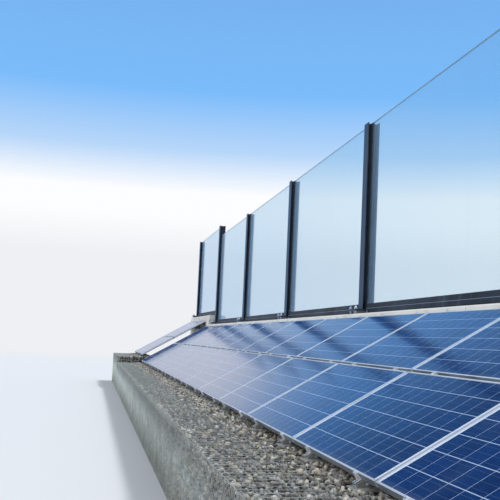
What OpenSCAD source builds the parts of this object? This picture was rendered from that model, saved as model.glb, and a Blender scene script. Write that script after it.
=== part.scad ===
// Highway noise barrier of six glazed bays. Rolled H posts stand on a concrete plinth and
// hold clear panes over a two-part base rail. On the road side a field of solar panels
// slopes down from the plinth to a gabion wall. The sixth bay stands a step higher.
// Millimetres. +X runs along the barrier, to the right as seen from the road, +Y points
// away from the road and +Z up. The origin is on the ground, in the middle of the box.

/* [Bays] */
// Distance between post centres
bay_pitch = 4000; // [3700:10:4300]
// Overall depth, from the front of the gabions to the back of the plinth
barrier_depth = 2874; // [2750:1:3000]
// Height of the panes' upper edge over the plinth
glazing_height = 2478; // [1800:1:2800]
// How much higher the plinth, posts and pane of the sixth bay stand
wall_step = 260; // [200:5:400]
// How much higher the gabion and the panels of the sixth bay stand
field_step = 175; // [100:5:300]

/* [Plinth] */
// Height of the plinth in the lower section
plinth_height = 1858; // [1750:1:2000]
// Thickness of the plinth
plinth_thick = 440; // [400:1:520]
// Length of plinth beyond the centre of the first and the last post
plinth_end = 225; // [180:5:400]
// Chamfer along the top edges of the plinth
plinth_chamfer = 15; // [5:1:30]
// Length of near plinth beyond the centre of the stepped post
step_ledge = 250; // [200:5:400]
// Height of the pocket over the near plinth that the stepped post's foot stands in
step_pocket = 130; // [110:5:180]

/* [Posts] */
// Width of a post's flange
flange_w = 160; // [140:1:180]
// Depth of a post's section
section_d = 152; // [140:1:180]
// Thickness of the flanges
flange_t = 9; // [7:0.5:12]
// Thickness of the web
web_t = 6; // [5:0.5:9]
// Radius of the fillets between web and flanges
root_r = 15; // [8:1:18]
// Diameter of the lifting hole in the web
lift_hole_d = 40; // [20:1:60]
// Distance from the top of a post to its lifting hole
lift_hole_drop = 85; // [60:5:150]

/* [Post feet] */
// Width of the base plate, along the barrier
plate_w = 300; // [270:5:340]
// Depth of the base plate, across the barrier
plate_d = 400; // [370:5:400]
// Thickness of the base plate
plate_t = 25; // [20:1:32]
// Diameter of the holes for the anchor bolts
anchor_hole_d = 28; // [22:1:34]
// Spacing of the anchor bolts along the barrier
anchor_x = 190; // [180:5:220]
// Spacing of the anchor bolts across the barrier
anchor_y = 340; // [280:5:345]
// Thickness of the grout bed under a base plate
grout_t = 40; // [25:1:50]
// How far the grout bed stays back from the edges of the base plate
grout_inset = 60; // [55:5:80]

/* [Base rail] */
// Gap between the plinth and the base rail
rail_lift = 20; // [10:1:22]
// Width of the lower tube
lower_tube_w = 116; // [100:1:130]
// Height of the lower tube
lower_tube_h = 57; // [50:1:70]
// Width of the upper channel
upper_rail_w = 90; // [80:1:96]
// Height of the upper channel
upper_rail_h = 58; // [52:1:80]
// Wall of the lower tube
tube_wall = 5; // [3:0.5:8]
// Radius of the lower tube's corners
tube_r = 9; // [6:0.5:14]
// Gap between the end of the lower tube and a base plate
tube_end_gap = 8; // [4:1:20]
// Width of the cleats that hold the base rail down
cleat_w = 24; // [20:1:40]

/* [Glazing] */
// Thickness of a pane
pane_t = 20; // [15:1:24]
// Gap between a pane's edge and the web of its post
pane_edge_gap = 20; // [15:1:30]
// Wall of the rubber profile round a pane's edge
gasket_t = 8; // [5:0.5:10]
// How far the rubber profile laps over the pane
gasket_lap = 30; // [20:1:36]
// Width of the glazing angle's leg on the rubber profile
angle_leg_x = 34; // [30:1:45]
// Width of the glazing angle's leg on the web
angle_leg_y = 38; // [25:1:42]
// Thickness of the glazing angle
angle_t = 4; // [3:0.5:6]

/* [Solar panels] */
// Length of a panel, along the barrier
panel_l = 1650; // [1500:1:1750]
// Width of a panel, up the slope
panel_w = 990; // [940:1:1010]
// Thickness of a panel's frame
panel_t = 40; // [32:1:46]
// Gap between two panels of a row
panel_gap = 20; // [10:1:30]
// Gap between the two rows
row_gap = 30; // [22:1:40]
// Width of the frame's upper lip
frame_lip = 12; // [10:0.5:16]
// Width of the frame's lower flange
frame_flange = 28; // [22:1:35]
// Thickness of the frame's lower flange
flange_sheet = 2; // [1.5:0.5:4]
// Thickness of the laminate of cells
laminate_t = 5; // [4:0.5:6]
// Depth of the frame's groove that the laminate sits in
groove_d = 8; // [5:0.5:9]
// Clear gap between the panels' upper edge and the plinth
panel_wall_gap = 35; // [30:1:60]
// Height of the plinth's top over the panels' upper edge
panel_drop = 49; // [30:1:90]
// Distance from the first post's centre to the first panel's end
field_offset = 520; // [300:5:560]
// Gap between the panels of the two sections
field_gap = 200; // [160:5:240]

/* [Sloping rails] */
// Width of a sloping rail
slope_rail_w = 45; // [40:1:60]
// Height of a sloping rail
slope_rail_h = 24; // [20:1:32]
// Wall of a sloping rail
slope_rail_wall = 3; // [2:0.5:5]
// Width of the slot in the top of a sloping rail
slope_rail_slot = 16; // [10:1:20]
// How far a sloping rail pokes out below the lowest panel
rail_poke = 42; // [28:1:52]
// How far a sloping rail reaches past the highest panel
rail_top = 20; // [17:1:28]
// Gap between the upper end of a sloping rail and the plinth
rail_end_gap = 3; // [1:0.5:6]
// Share of a panel's length between its right end and its first rail
rail_right = 0.16; // [0.12:0.01:0.3]
// Share of a panel's length between its left end and its second rail
rail_left = 0.25; // [0.12:0.01:0.3]

/* [Clamps] */
// Length of a clamp along the barrier
clamp_l = 40; // [30:1:60]
// How far a clamp laps over a panel's frame
clamp_lap = 8; // [6:0.5:10]
// Thickness of a clamp's plate
clamp_t = 4; // [3:0.5:6]
// Width of an end clamp's body outside the panel
clamp_body = 16; // [12:1:16]

/* [Feet and brackets of the rails] */
// Width of a foot plate, along the barrier
foot_w = 155; // [140:5:220]
// How far the middle of a foot plate lies to the right of its rail
foot_shift = 42; // [20:1:55]
// Depth of a foot plate, across the barrier
foot_d = 230; // [200:5:270]
// Thickness of a foot plate
foot_t = 6; // [4:1:10]
// How far a foot plate reaches out in front of the panels
foot_reach = 42; // [30:1:70]
// Thickness of the saddle's cheeks
cheek_t = 6; // [4:0.5:8]
// Depth of the saddle, across the barrier
saddle_d = 75; // [60:5:110]
// Height of the cheeks beside a rail
cheek_h = 15; // [8:1:18]
// Clearance between a rail and its saddle's cheeks
cheek_gap = 0.5; // [0.3:0.1:1]
// Width of a wall bracket's back plate
bracket_w = 90; // [70:5:120]
// Height of a wall bracket's back plate
bracket_h = 190; // [160:5:260]
// Thickness of a wall bracket's plates
bracket_t = 8; // [6:1:12]
// How far a wall bracket reaches out from the plinth
bracket_reach = 150; // [120:5:200]

/* [Gabions] */
// Height of the gabions in the lower section
gabion_height = 710; // [650:1:760]
// Depth of the gabions
gabion_depth = 1000; // [950:10:1100]
// Thickness of the basket's bars
bar_t = 8; // [6:1:12]
// Chamfer of the stone fill's edges
fill_chamfer = 25; // [15:5:50]
// Widest spacing of the basket's bars along the barrier
bar_pitch_x = 460; // [350:10:700]
// Widest spacing of the basket's bars up and across
bar_pitch_z = 210; // [180:10:300]
// How far the higher gabion reaches under the lower section's end
gabion_lead = 60; // [40:5:120]
// Length of gabion beyond the last panel
gabion_end = 60; // [20:5:120]

/* [Hidden] */
near_bays = 5;
bays = near_bays + 1;
posts = bays + 1;
tiny = 0.02;
big = 60000;
seat_gap = 0.3;
arc_steps = 48;

// Places across the barrier
front_y = -barrier_depth / 2;
back_y = barrier_depth / 2;
plinth_front = back_y - plinth_thick;
post_y = back_y - plinth_thick / 2;
gabion_back = front_y + gabion_depth;

// Places along the barrier
function post_x(i) = (bays / 2 + 1 - i) * bay_pitch;
step_x = post_x(near_bays + 1);
plinth_right = post_x(1) + plinth_end;
plinth_left = post_x(posts) - plinth_end;
panel_pitch = panel_l + panel_gap;
near_panels = round(near_bays * bay_pitch / panel_pitch);
near_start = post_x(1) - field_offset;
near_stop = near_start - near_panels * panel_pitch + panel_gap;
far_start = near_stop - field_gap;
far_panels = floor((far_start - plinth_left + panel_gap) / panel_pitch);
far_stop = far_start - far_panels * panel_pitch + panel_gap;
gabion_step_x = far_start + gabion_lead;
gabion_stop = far_stop - gabion_end;
near_basket_l = (near_start - gabion_step_x) / near_bays;

// Heights
function is_far(bay) = bay > near_bays;
function wall_rise(bay) = is_far(bay) ? wall_step : 0;
function field_rise(far) = far ? field_step : 0;
plate_top = plinth_height + grout_t + plate_t;
rail_z = plinth_height + rail_lift;
channel_z = rail_z + lower_tube_h;
rail_top_z = channel_z + upper_rail_h;
slot_w = pane_t + 2 * gasket_t;
slot_d = gasket_lap + gasket_t;
pane_z = rail_top_z - gasket_lap;
pane_top = plinth_height + glazing_height;
pane_inset = web_t / 2 + pane_edge_gap;

// The panels' plane, at the slope at which the rails' lower ends stand on the foot plates
field_w = 2 * panel_w + row_gap;
upper_edge_y = plinth_front - panel_wall_gap;
upper_edge_z = plinth_height - panel_drop;
rail_base = panel_t + slope_rail_h;
rail_reach = field_w + rail_poke;
rail_fall = upper_edge_z - gabion_height - foot_t;
slope = asin(rail_fall / norm([rail_reach, rail_base])) - atan(rail_base / rail_reach);
lower_edge_y = upper_edge_y - field_w * cos(slope);
rail_end_y = upper_edge_y - rail_reach * cos(slope) + rail_base * sin(slope);
// Height at a place across the barrier of what lies a depth under the panels' plane
function under_z(y, depth) = upper_edge_z + (y - upper_edge_y) * tan(slope) - depth / cos(slope);

// Positions of the sloping rails
function rail_xs(start, count) = [
    for (k = [0:count - 1])
        for (share = [rail_right, 1 - rail_left])
            start - k * panel_pitch - share * panel_l
];
near_rails = rail_xs(near_start, near_panels);
far_rails = rail_xs(far_start, far_panels);

// Puts its children on the panels' plane, with Y up the slope from the upper edge
module on_slope(rise) {
    translate([0, upper_edge_y, upper_edge_z + rise])
        rotate([slope, 0, 0])
            children();
}

// Extrudes an outline drawn as across-and-up along the barrier, centred on x
module along(x, length) {
    translate([x - length / 2, 0, 0])
        rotate([90, 0, 90])
            linear_extrude(height = length)
                children();
}

// Rolled H section with root fillets
module h_section() {
    inner = section_d / 2 - flange_t;
    for (side = [-1, 1])
        translate([-flange_w / 2, side > 0 ? inner : -section_d / 2])
            square([flange_w, flange_t]);
    square([web_t, section_d - flange_t], center = true);
    for (sx = [-1, 1])
        for (sy = [-1, 1])
            scale([sx, sy])
                difference() {
                    translate([web_t / 2 - tiny, inner - root_r])
                        square([root_r + tiny, root_r + tiny]);
                    translate([web_t / 2 + root_r, inner - root_r])
                        circle(r = root_r, $fn = arc_steps);
                }
}

// Post with its welded base plate
module post(i) {
    foot_rise = i > near_bays + 1 ? wall_step : 0;
    top_rise = i > near_bays ? wall_step : 0;
    top = pane_top + top_rise;
    color("dimgray")
        translate([post_x(i), post_y, 0])
            difference() {
                union() {
                    translate([0, 0, plate_top + foot_rise - tiny])
                        linear_extrude(height = top - plate_top - foot_rise + tiny)
                            h_section();
                    translate([-plate_w / 2, -plate_d / 2, plate_top + foot_rise - plate_t])
                        cube([plate_w, plate_d, plate_t]);
                }
                for (sx = [-1, 1])
                    for (sy = [-1, 1])
                        translate([sx * anchor_x / 2, sy * anchor_y / 2, plate_top + foot_rise - 2 * plate_t])
                            cylinder(d = anchor_hole_d, h = 3 * plate_t, $fn = arc_steps);
                translate([-web_t, 0, top - lift_hole_drop])
                    rotate([0, 90, 0])
                        cylinder(d = lift_hole_d, h = 2 * web_t, $fn = arc_steps);
            }
}

// Clear pane between the webs of two posts
module pane(bay) {
    width = bay_pitch - 2 * pane_inset;
    color("lightcyan", 0.4)
        translate([post_x(bay + 1) + pane_inset, post_y - pane_t / 2, pane_z + wall_rise(bay)])
            cube([width, pane_t, pane_top - pane_z]);
}

// Rubber profile round a pane's lower and upright edges
module pane_gasket(bay) {
    width = bay_pitch - 2 * pane_inset;
    rise = wall_rise(bay);
    color("black")
        translate([post_x(bay + 1) + pane_inset, post_y, pane_z + rise])
            difference() {
                translate([-gasket_t, -slot_w / 2, -gasket_t])
                    cube([width + 2 * gasket_t, slot_w, pane_top - pane_z + gasket_t]);
                translate([0, -pane_t / 2, 0])
                    cube([width, pane_t, big]);
                translate([gasket_lap, -slot_w, gasket_lap])
                    cube([width - 2 * gasket_lap, 2 * slot_w, big]);
            }
}

module pane_gaskets() {
    for (bay = [1:bays])
        pane_gasket(bay);
}

// Steel angle that holds a pane's rubber profile in its post
module glazing_angle(height) {
    linear_extrude(height = height)
        union() {
            square([angle_leg_x, angle_t]);
            square([angle_t, angle_leg_y]);
        }
}

module glazing_angles() {
    color("dimgray")
        for (bay = [1:bays])
            for (side = [-1, 1])
                for (face = [-1, 1])
                    translate([
                        post_x(side > 0 ? bay : bay + 1) - side * web_t / 2,
                        post_y + face * slot_w / 2,
                        rail_top_z + wall_rise(bay) + gasket_t
                    ])
                        scale([-side, face, 1])
                            glazing_angle(pane_top - rail_top_z - 2 * gasket_t);
}

// Base rail: a lower tube between the base plates and a channel that holds the pane
module base_rail(bay) {
    rise = wall_rise(bay);
    middle = (post_x(bay) + post_x(bay + 1)) / 2;
    channel_l = bay_pitch - web_t - 2 * (pane_edge_gap - gasket_t);
    tube_l = bay_pitch - plate_w - 2 * tube_end_gap;
    tube_bore_w = lower_tube_w - 2 * tube_wall;
    tube_bore_h = lower_tube_h - 2 * tube_wall;
    color("slategray")
        translate([0, post_y, rise]) {
            translate([0, 0, rail_z])
                along(middle, tube_l)
                    difference() {
                        rounded_box(lower_tube_w, lower_tube_h, tube_r);
                        translate([0, tube_wall])
                            rounded_box(tube_bore_w, tube_bore_h, tube_r - tube_wall);
                    }
            translate([0, 0, channel_z - tiny])
                along(middle, channel_l)
                    difference() {
                        translate([-upper_rail_w / 2, 0])
                            square([upper_rail_w, upper_rail_h + tiny]);
                        translate([-slot_w / 2, upper_rail_h - slot_d + tiny])
                            square([slot_w, slot_d + tiny]);
                    }
        }
}

// Rectangle standing on the X axis with round corners
module rounded_box(w, h, r) {
    translate([-w / 2 + r, 0])
        square([w - 2 * r, h]);
    translate([-w / 2, r])
        square([w, h - 2 * r]);
    for (sx = [-1, 1])
        for (z = [r, h - r])
            translate([sx * (w / 2 - r), z])
                circle(r = r, $fn = arc_steps);
}

// Cleats between the plinth and both ends of each lower tube
module rail_cleats() {
    color("gainsboro")
        for (bay = [1:bays])
            for (side = [-1, 1])
                translate([
                    (post_x(bay) + post_x(bay + 1)) / 2
                        + side * (bay_pitch / 2 - plate_w / 2 - tube_end_gap - 2 * cleat_w),
                    post_y - lower_tube_w / 2,
                    plinth_height + wall_rise(bay)
                ])
                    cleat();
}

// Cleat with a foot on the plinth, a leg on the tube's front and a packer under the tube
module cleat() {
    leg = rail_lift + lower_tube_h / 2;
    translate([-cleat_w / 2, -cleat_w, 0])
        cube([cleat_w, cleat_w, angle_t]);
    translate([-cleat_w / 2, -angle_t - seat_gap, 0])
        cube([cleat_w, angle_t, leg]);
    translate([-cleat_w / 2, -angle_t, 0])
        cube([cleat_w, lower_tube_w / 2, rail_lift]);
}

// Outline of the plinth, drawn across and up
module plinth_outline(height) {
    polygon([
        [plinth_front, 0],
        [back_y, 0],
        [back_y, height - plinth_chamfer],
        [back_y - plinth_chamfer, height],
        [plinth_front + plinth_chamfer, height],
        [plinth_front, height - plinth_chamfer]
    ]);
}

module plinth_near() {
    left = step_x - step_ledge;
    color("ivory")
        along((left + plinth_right) / 2, plinth_right - left)
            plinth_outline(plinth_height);
}

// Higher plinth, with a nose over the pocket that the stepped post's foot stands in
module plinth_far() {
    left = plinth_left;
    right = step_x - flange_w / 2 - tube_end_gap;
    pocket_z = plinth_height + step_pocket;
    color("ivory")
        difference() {
            along((left + right) / 2, right - left)
                plinth_outline(plinth_height + wall_step);
            translate([step_x - step_ledge, front_y, -big])
                cube([big, 2 * barrier_depth, big + pocket_z]);
        }
}

module grout_beds() {
    color("silver")
        for (i = [1:posts]) {
            rise = i > near_bays + 1 ? wall_step : 0;
            translate([
                post_x(i) - plate_w / 2 + grout_inset,
                post_y - plate_d / 2 + grout_inset,
                plinth_height + rise
            ])
                cube([plate_w - 2 * grout_inset, plate_d - 2 * grout_inset, grout_t]);
        }
}

// Ends of a gabion along the barrier, and its height
function gabion_right(i) = is_far(i) ? gabion_step_x : near_start - (i - 1) * near_basket_l;
function gabion_left(i) = is_far(i) ? gabion_stop : near_start - i * near_basket_l;
function gabion_top(i) = gabion_height + field_rise(is_far(i));

// Stone fill of a gabion
module gabion(i) {
    left = gabion_left(i) + bar_t;
    right = gabion_right(i) - bar_t;
    y0 = front_y + bar_t;
    y1 = gabion_back - bar_t;
    top = gabion_top(i) - bar_t;
    c = fill_chamfer;
    color("darkkhaki")
        along((left + right) / 2, right - left)
            polygon([
                [y0, 0], [y1, 0], [y1, top - c], [y1 - c, top],
                [y0 + c, top], [y0, top - c]
            ]);
}

// Places of evenly spread bars between two ends, none further apart than the pitch
function bar_places(from, to, pitch) =
    let (count = ceil((to - from) / pitch))
        [for (k = [0:count]) from + (to - from) * k / count];

// Wire basket round a gabion: mesh panels on its front, top, back and ends
module basket(i) {
    left = gabion_left(i) + seat_gap;
    right = gabion_right(i) - seat_gap;
    top = gabion_top(i);
    half = bar_t / 2;
    xs = bar_places(left + half, right - half, bar_pitch_x);
    ys = bar_places(front_y + half, gabion_back - half, bar_pitch_z);
    zs = bar_places(half, top - half, bar_pitch_z);
    last_y = len(ys) - 1;
    last_z = len(zs) - 1;
    color("lightgray")
        union() {
            // Bars along the barrier
            for (z = zs)
                for (y = [ys[0], ys[last_y]])
                    translate([left, y - half, z - half])
                        cube([right - left, bar_t, bar_t]);
            for (k = [1:last_y - 1])
                translate([left, ys[k] - half, top - bar_t])
                    cube([right - left, bar_t, bar_t]);
            // Upright bars of the front, the back and the ends
            for (x = xs)
                for (y = [ys[0], ys[last_y]])
                    translate([x - half, y - half, 0])
                        cube([bar_t, bar_t, top]);
            for (x = [xs[0], xs[len(xs) - 1]])
                for (k = [1:last_y - 1])
                    translate([x - half, ys[k] - half, 0])
                        cube([bar_t, bar_t, top]);
            // Bars across the top and the ends
            for (x = xs)
                translate([x - half, front_y, top - bar_t])
                    cube([bar_t, gabion_depth, bar_t]);
            for (x = [xs[0], xs[len(xs) - 1]])
                for (k = [0:last_z - 1])
                    translate([x - half, front_y, zs[k] - half])
                        cube([bar_t, gabion_depth, bar_t]);
        }
}

// Frame of one panel, with its upper lip, laminate groove and lower flange
module panel_frame() {
    lip_in = frame_lip;
    difference() {
        cube([panel_l, panel_w, panel_t]);
        translate([lip_in, lip_in, -1])
            cube([panel_l - 2 * lip_in, panel_w - 2 * lip_in, panel_t + 2]);
        translate([lip_in - groove_d, lip_in - groove_d, panel_t - flange_sheet - laminate_t])
            cube([panel_l - 2 * (lip_in - groove_d), panel_w - 2 * (lip_in - groove_d), laminate_t]);
    }
    difference() {
        translate([lip_in - tiny, lip_in - tiny, 0])
            cube([panel_l - 2 * lip_in + 2 * tiny, panel_w - 2 * lip_in + 2 * tiny, flange_sheet]);
        translate([frame_flange, frame_flange, -1])
            cube([panel_l - 2 * frame_flange, panel_w - 2 * frame_flange, flange_sheet + 2]);
    }
}

// Runs its child over one row of panels; row 0 is the upper one
module panel_row(row) {
    for (far = [false, true])
        on_slope(field_rise(far))
            for (k = [0:(far ? far_panels : near_panels) - 1])
                translate([
                    (far ? far_start : near_start) - k * panel_pitch - panel_l,
                    -panel_w - row * (panel_w + row_gap),
                    -panel_t
                ])
                    children();
}

module panel_frames(row) {
    color("whitesmoke")
        panel_row(row)
            panel_frame();
}

// Laminate of glass and cells, seated in the frame's groove
module laminates(row) {
    edge = frame_lip - groove_d + seat_gap;
    color("royalblue")
        panel_row(row)
            translate([edge, edge, panel_t - flange_sheet - laminate_t])
                cube([panel_l - 2 * edge, panel_w - 2 * edge, laminate_t]);
}

// Outline of a sloping rail: an open channel with inturned lips
module slope_rail_outline() {
    w = slope_rail_w;
    h = slope_rail_h;
    t = slope_rail_wall;
    difference() {
        translate([-w / 2, -h])
            square([w, h]);
        translate([-w / 2 + t, -h + t])
            square([w - 2 * t, h - 2 * t]);
        translate([-slope_rail_slot / 2, -2 * t])
            square([slope_rail_slot, 4 * t]);
    }
}

module slope_rail(x) {
    translate([x, rail_top, -panel_t])
        rotate([90, 0, 0])
            linear_extrude(height = field_w + rail_top + rail_poke)
                slope_rail_outline();
}

// Sloping rails, with their upper ends cut upright along the plinth
module slope_rails() {
    color("silver")
        difference() {
            for (far = [false, true])
                on_slope(field_rise(far))
                    for (x = far ? far_rails : near_rails)
                        slope_rail(x);
            translate([-big / 2, plinth_front - rail_end_gap, 0])
                cube(big);
        }
}

// Clamp between the two rows, with a stem down to its rail
module middle_clamp() {
    translate([-clamp_l / 2, -row_gap / 2 - clamp_lap, 0])
        cube([clamp_l, row_gap + 2 * clamp_lap, clamp_t]);
    translate([-clamp_l / 2, -row_gap / 2 + seat_gap, -panel_t])
        cube([clamp_l, row_gap - 2 * seat_gap, panel_t + tiny]);
}

// Clamp at a panel's outer edge; its lip points up the slope
module end_clamp() {
    translate([-clamp_l / 2, -clamp_body, 0])
        cube([clamp_l, clamp_body + clamp_lap, clamp_t]);
    translate([-clamp_l / 2, -clamp_body, -panel_t])
        cube([clamp_l, clamp_body - seat_gap, panel_t + tiny]);
}

module panel_clamps() {
    color("gainsboro")
        for (far = [false, true])
            on_slope(field_rise(far))
                for (x = far ? far_rails : near_rails) {
                    translate([x, -panel_w - row_gap / 2, 0])
                        middle_clamp();
                    translate([x, -field_w, 0])
                        end_clamp();
                    scale([1, -1, 1])
                        translate([x, 0, 0])
                            end_clamp();
                }
}

// Foot of a sloping rail: a plate on the gabion, a wedge under the rail and cheeks beside it
module rail_foot(x, rise) {
    base = gabion_height + rise;
    wedge_z = base + foot_t - tiny;
    y0 = rail_end_y - tiny / tan(slope);
    y1 = y0 + saddle_d;
    half = slope_rail_w / 2 + cheek_gap;
    translate([x + foot_shift - foot_w / 2, lower_edge_y - foot_reach, base])
        cube([foot_w, foot_d, foot_t]);
    along(x, 2 * (half + cheek_t))
        polygon([[y0, wedge_z], [y1, wedge_z], [y1, under_z(y1, rail_base) + rise]]);
    for (side = [-1, 1])
        along(x + side * (half + cheek_t / 2), cheek_t)
            polygon([
                [y0, wedge_z],
                [y1, wedge_z],
                [y1, under_z(y1, rail_base - cheek_h) + rise],
                [y0, under_z(y0, rail_base - cheek_h) + rise]
            ]);
}

module rail_feet() {
    color("gray")
        for (far = [false, true])
            for (x = far ? far_rails : near_rails)
                rail_foot(x, field_rise(far));
}

// Bracket on the plinth under the upper end of a sloping rail
module wall_bracket(x, rise) {
    y0 = plinth_front - bracket_reach;
    y1 = plinth_front;
    top = under_z(y1 - bracket_t, rail_base) + rise;
    translate([x - bracket_w / 2, y1 - bracket_t, top - bracket_h])
        cube([bracket_w, bracket_t, bracket_h]);
    along(x, bracket_t)
        polygon([
            [y1 - tiny, top - bracket_h],
            [y1 - tiny, under_z(y1 - tiny, rail_base + tiny) + rise],
            [y0, under_z(y0, rail_base + tiny) + rise],
            [y0, under_z(y0, rail_base + 3 * bracket_t) + rise]
        ]);
    along(x, slope_rail_w)
        polygon([
            [y1 - tiny, under_z(y1 - tiny, rail_base) + rise],
            [y0, under_z(y0, rail_base) + rise],
            [y0, under_z(y0, rail_base + bracket_t) + rise],
            [y1 - tiny, under_z(y1 - tiny, rail_base + bracket_t) + rise]
        ]);
}

module wall_brackets() {
    color("gray")
        for (far = [false, true])
            for (x = far ? far_rails : near_rails)
                wall_bracket(x, field_rise(far));
}

for (i = [1:posts])
    post(i);
for (i = [1:bays]) {
    pane(i);
    base_rail(i);
    gabion(i);
    basket(i);
}
plinth_near();
plinth_far();
grout_beds();
rail_cleats();
pane_gaskets();
glazing_angles();
panel_frames(1);  // panel_frames_lower
panel_frames(0);  // panel_frames_upper
laminates(1);  // laminates_lower
laminates(0);  // laminates_upper
slope_rails();
panel_clamps();
rail_feet();
wall_brackets();
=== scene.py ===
"""Finishes and fine detail of a highway noise barrier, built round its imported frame."""

import math
import random

import bmesh
import bpy
import numpy as np
from mathutils import Euler, Matrix, Vector


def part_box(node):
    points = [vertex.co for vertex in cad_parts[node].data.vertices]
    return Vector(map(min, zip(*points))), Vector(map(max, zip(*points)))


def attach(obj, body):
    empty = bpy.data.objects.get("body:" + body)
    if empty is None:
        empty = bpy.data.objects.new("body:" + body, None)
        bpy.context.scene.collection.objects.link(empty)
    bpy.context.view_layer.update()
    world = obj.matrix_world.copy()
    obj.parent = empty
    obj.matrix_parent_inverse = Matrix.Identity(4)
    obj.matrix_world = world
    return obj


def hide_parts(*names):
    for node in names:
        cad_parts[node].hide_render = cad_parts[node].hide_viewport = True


bl_info = {
    "name": "Highway Noise Barrier",
    "version": (1, 0, 0),
    "blender": (4, 5, 0),
    "location": "View3D > Sidebar > Barrier",
    "description": "Fills, glazes and finishes a highway noise barrier with solar panels",
    "category": "Object",
}

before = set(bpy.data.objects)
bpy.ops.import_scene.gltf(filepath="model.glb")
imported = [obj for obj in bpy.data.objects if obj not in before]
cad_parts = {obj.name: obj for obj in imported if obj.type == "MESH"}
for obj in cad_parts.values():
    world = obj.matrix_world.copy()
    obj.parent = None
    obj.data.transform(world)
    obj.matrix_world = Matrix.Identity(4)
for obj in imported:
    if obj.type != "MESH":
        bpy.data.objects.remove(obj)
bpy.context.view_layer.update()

BAYS = 6
POSTS = BAYS + 1
GABIONS = 6
CELLS_ALONG, CELLS_UP = 10, 6
SEED = 57
PANEL_SEED = 62


# Measures read from the frame


def islands(node):
    """Corner points of each separate solid of a CAD node, one array each."""
    shape = bmesh.new()
    shape.from_mesh(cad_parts[node].data)
    bmesh.ops.remove_doubles(shape, verts=shape.verts, dist=1e-6)
    seen, found = set(), []
    for start in shape.verts:
        if start in seen:
            continue
        seen.add(start)
        group, waiting = [], [start]
        while waiting:
            corner = waiting.pop()
            group.append(corner.co[:])
            for edge in corner.link_edges:
                other = edge.other_vert(corner)
                if other not in seen:
                    seen.add(other)
                    waiting.append(other)
        found.append(np.array(group))
    shape.free()
    return found


def limits(points):
    """Lowest and highest values of some points along each axis."""
    return points.min(axis=0), points.max(axis=0)


def box_corners(node):
    """Lowest and highest corner of a CAD node's box."""
    return [Vector(corner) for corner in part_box(node)]


def numbered(name, count):
    """Names of a run of like CAD nodes."""
    return [f"{name}_{number}" for number in range(1, count + 1)]


def panel_slope():
    """Slope of the solar panels in radians, from the laminates' largest face."""
    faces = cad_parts["laminates_upper"].data.polygons
    widest = max(faces, key=lambda face: face.area)
    normal = widest.normal if widest.normal.z > 0 else -widest.normal
    return math.atan2(-normal.y, normal.z)


SLOPE = panel_slope()
UP_SLOPE = np.array([0.0, math.cos(SLOPE), math.sin(SLOPE)])
OFF_SLOPE = np.array([0.0, -math.sin(SLOPE), math.cos(SLOPE)])


def on_slope(points):
    """Points as distance along the barrier, up the slope and off the panels' plane."""
    return np.stack([points[:, 0], points @ UP_SLOPE, points @ OFF_SLOPE], axis=1)


def slope_matrix(x, up, off):
    """Places something that is drawn flat on the panels' slope."""
    turn = Matrix.Rotation(SLOPE, 4, "X")
    return turn @ Matrix.Translation((x, up, off))


# Meshes


def read(items, key, width, kind=float):
    """One row of numbers for each vertex, corner or face of a mesh."""
    values = np.empty(len(items) * width, dtype=kind)
    items.foreach_get(key, values)
    return values.reshape(-1, width)


def aimed(way):
    """Matrix that turns upright things to a direction."""
    return Vector(way).to_track_quat("Z", "Y").to_matrix().to_4x4()


def link(name, data):
    """Puts a new object into the scene."""
    added = bpy.data.objects.new(name, data)
    bpy.context.scene.collection.objects.link(added)
    return added


def keep(mesh, materials, slot, *replaced):
    """Makes a mesh a piece of the barrier, in place of the CAD nodes that are named."""
    piece = link(mesh.name, mesh)
    for material in materials:
        mesh.materials.append(material)
    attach(piece, "root")
    if replaced:
        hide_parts(*replaced)


def as_mesh(shape, name):
    """Turns a bmesh into a mesh."""
    mesh = bpy.data.meshes.new(name)
    shape.to_mesh(mesh)
    shape.free()
    return mesh


def add_block(shape, segments, radius, bottom, height):
    """Adds an upright round or many-sided block and returns its corners."""
    corners = bmesh.ops.create_cone(
        shape, cap_ends=True, segments=segments, radius1=radius, radius2=radius, depth=height)["verts"]
    bmesh.ops.translate(shape, verts=corners, vec=(0, 0, bottom + height / 2))
    return corners


PLAIN_TINT = (0.5, 0.5, 0.5)


def spread(name, groups):
    """One mesh of many copies. Each group is a source mesh, its matrices and their tints."""
    points, corners, starts, tints = [], [], [], []
    point_count = corner_count = 0
    for source, matrices, shades in groups:
        if not len(matrices):
            continue
        own = np.c_[read(source.vertices, "co", 3), np.ones(len(source.vertices))]
        loops = read(source.loops, "vertex_index", 1, np.int64).ravel()
        begins = read(source.polygons, "loop_start", 1, np.int64).ravel()
        placed = np.einsum("nij,pj->npi", np.array(matrices), own)[:, :, :3]
        copies = np.arange(len(matrices))[:, None]
        points.append(placed.reshape(-1, 3))
        corners.append((loops + copies * len(own) + point_count).ravel())
        starts.append((begins + copies * len(loops) + corner_count).ravel())
        tints.append(np.repeat(np.array(shades), len(own), axis=0))
        point_count += len(own) * len(matrices)
        corner_count += len(loops) * len(matrices)
    points, corners = np.concatenate(points), np.concatenate(corners)
    starts, tints = np.concatenate(starts), np.concatenate(tints)
    mesh = bpy.data.meshes.new(name)
    mesh.vertices.add(len(points))
    mesh.vertices.foreach_set("co", points.astype(np.float32).ravel())
    mesh.loops.add(len(corners))
    mesh.loops.foreach_set("vertex_index", corners.astype(np.int32))
    mesh.polygons.add(len(starts))
    mesh.polygons.foreach_set("loop_start", starts.astype(np.int32))
    mesh.update(calc_edges=True)
    tint = mesh.attributes.new("tint", "FLOAT_COLOR", "POINT")
    tint.data.foreach_set("color", np.c_[tints, np.ones(len(tints))].astype(np.float32).ravel())
    return mesh


# Materials


def math_node(operation):
    """A method that sends a number through one Math node."""

    def send(wire, *others):
        return wire.maths(operation, wire, *others)

    return send


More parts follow.
